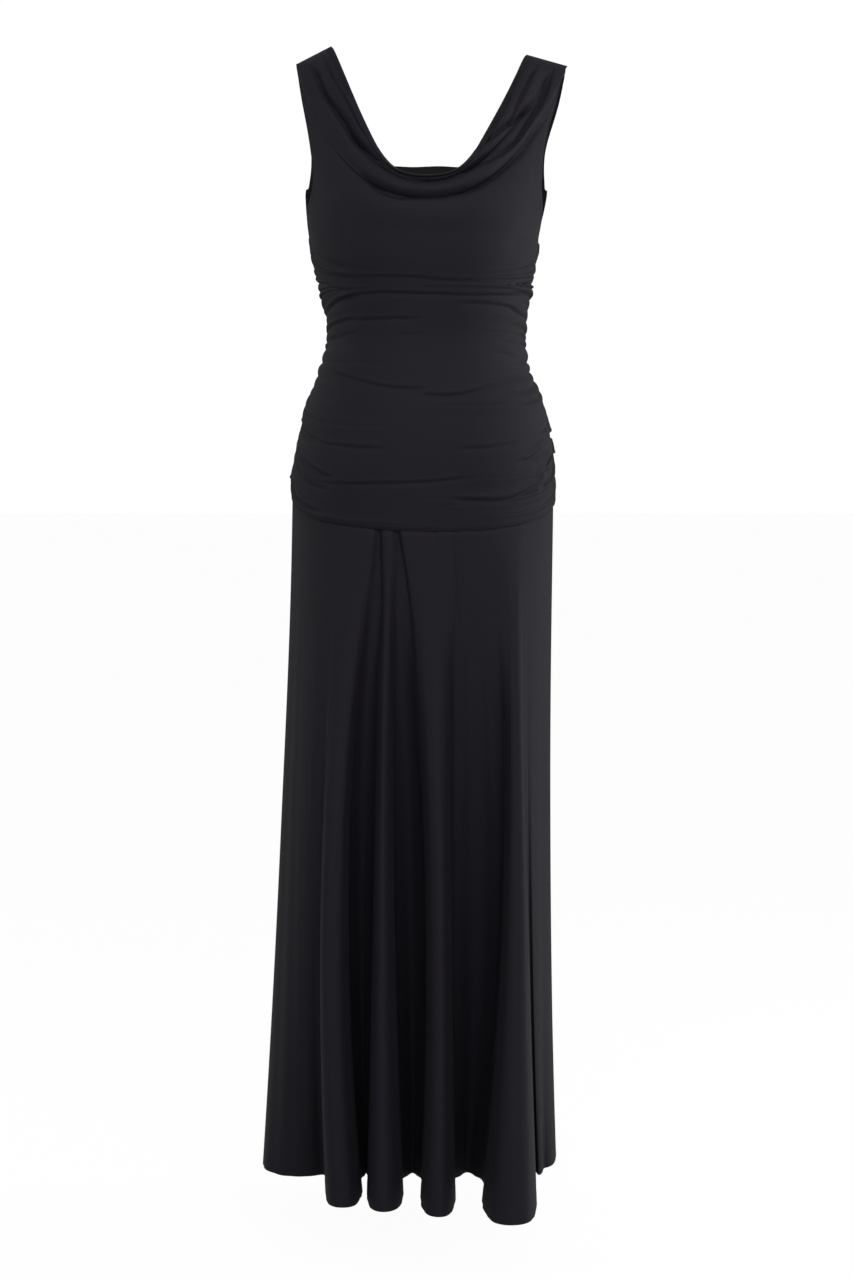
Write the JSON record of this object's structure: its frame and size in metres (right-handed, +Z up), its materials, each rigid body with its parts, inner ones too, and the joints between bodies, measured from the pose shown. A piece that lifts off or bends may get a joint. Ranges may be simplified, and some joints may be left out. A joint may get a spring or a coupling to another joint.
{
  "type": "maxi dress",
  "caption": "Hollow sleeveless floor-length dress in dark jersey: draped cowl neck, wide straps, ruched fitted bodice, drop seam and flared skirt in deep pipe folds.",
  "frame": {"origin": "level with the tops of the shoulder seams, on the body's centre line, where the wearer's shoulders carry the dress", "axes": "+Z up, front of the dress to -Y, +X to the right of someone who faces the front"},
  "size_m": [0.3815, 0.4004, 1.407],
  "materials": {
    "jersey": "matte black jersey knit",
    "lining": "matte black jersey knit, inner face"
  },
  "bodies": {
    "root": {"front_bodice": "jersey", "back_bodice": "jersey", "front_lining": "lining", "skirt_front": "jersey", "skirt_back": "jersey"}
  },
  "joints": []
}
